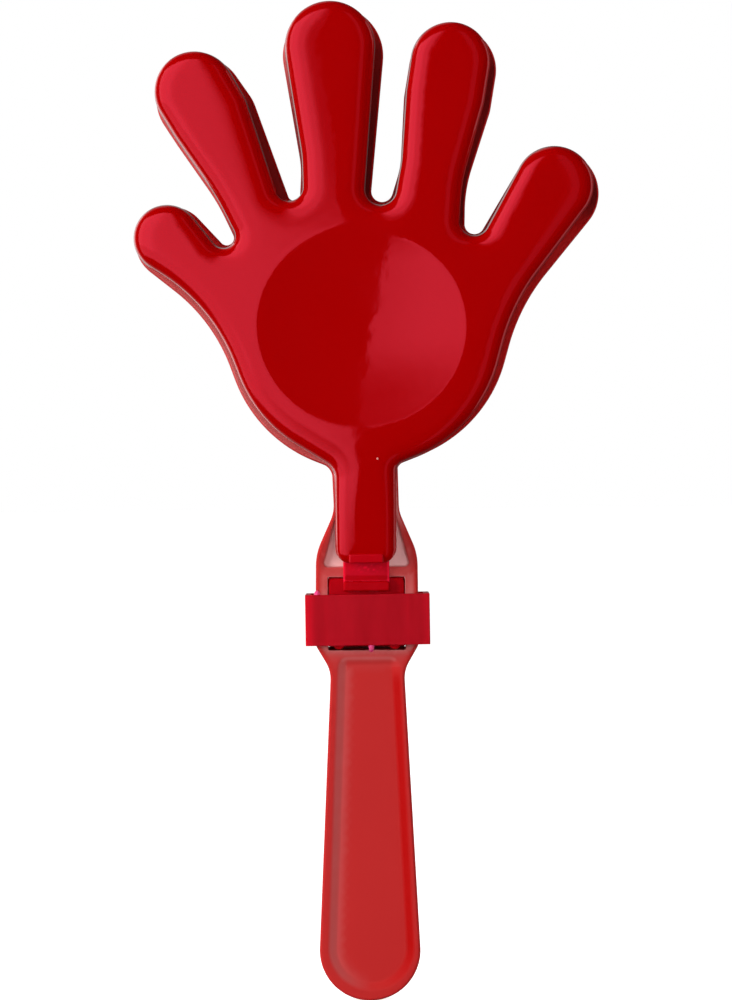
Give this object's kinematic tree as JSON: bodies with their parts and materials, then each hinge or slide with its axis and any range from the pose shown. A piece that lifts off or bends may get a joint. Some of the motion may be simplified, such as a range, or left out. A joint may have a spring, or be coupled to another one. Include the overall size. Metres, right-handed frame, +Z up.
{
  "type": "hand clapper",
  "caption": "Party hand clapper: a flat hand on a grip with a loose shell hand in front and behind, each on a flexible strap held by a sleeve, that slap together when shaken.",
  "frame": {"origin": "middle of the grip, between its two faces", "axes": "+Z up along the handle to the fingertips, +X to the right of the front view, +Y to the rear"},
  "size_m": [0.13, 0.046, 0.2786],
  "materials": {
    "satin_red": "satin",
    "gloss_red": "polished",
    "strap_red": "thin, slightly translucent",
    "band_red": "semi-gloss, slightly translucent"
  },
  "bodies": {
    "handle": {"handle": "satin_red", "front_hinge_film": "strap_red", "front_hinge_foot": "strap_red", "back_hinge_film": "strap_red", "back_hinge_foot": "strap_red", "locking_band": "band_red"},
    "front_hand": {"front_hand": "gloss_red"},
    "back_hand": {"back_hand": "gloss_red"}
  },
  "joints": [
    {"name": "front_hinge", "type": "hinge", "parent": "handle", "child": "front_hand", "pos_m": [0, -0.0051, 0.074], "axis": [1, 0, 0.0052], "range_deg": [-4.5, 75], "stiffness_Nm_per_rad": 0.08, "springref_deg": -1.43, "deforming": ["front_hinge_film"]},
    {"name": "back_hinge", "type": "hinge", "parent": "handle", "child": "back_hand", "pos_m": [0, 0.0051, 0.074], "axis": [-1, 0, 0.0052], "range_deg": [-4.5, 75], "stiffness_Nm_per_rad": 0.08, "springref_deg": -1.43, "deforming": ["back_hinge_film"]}
  ]
}
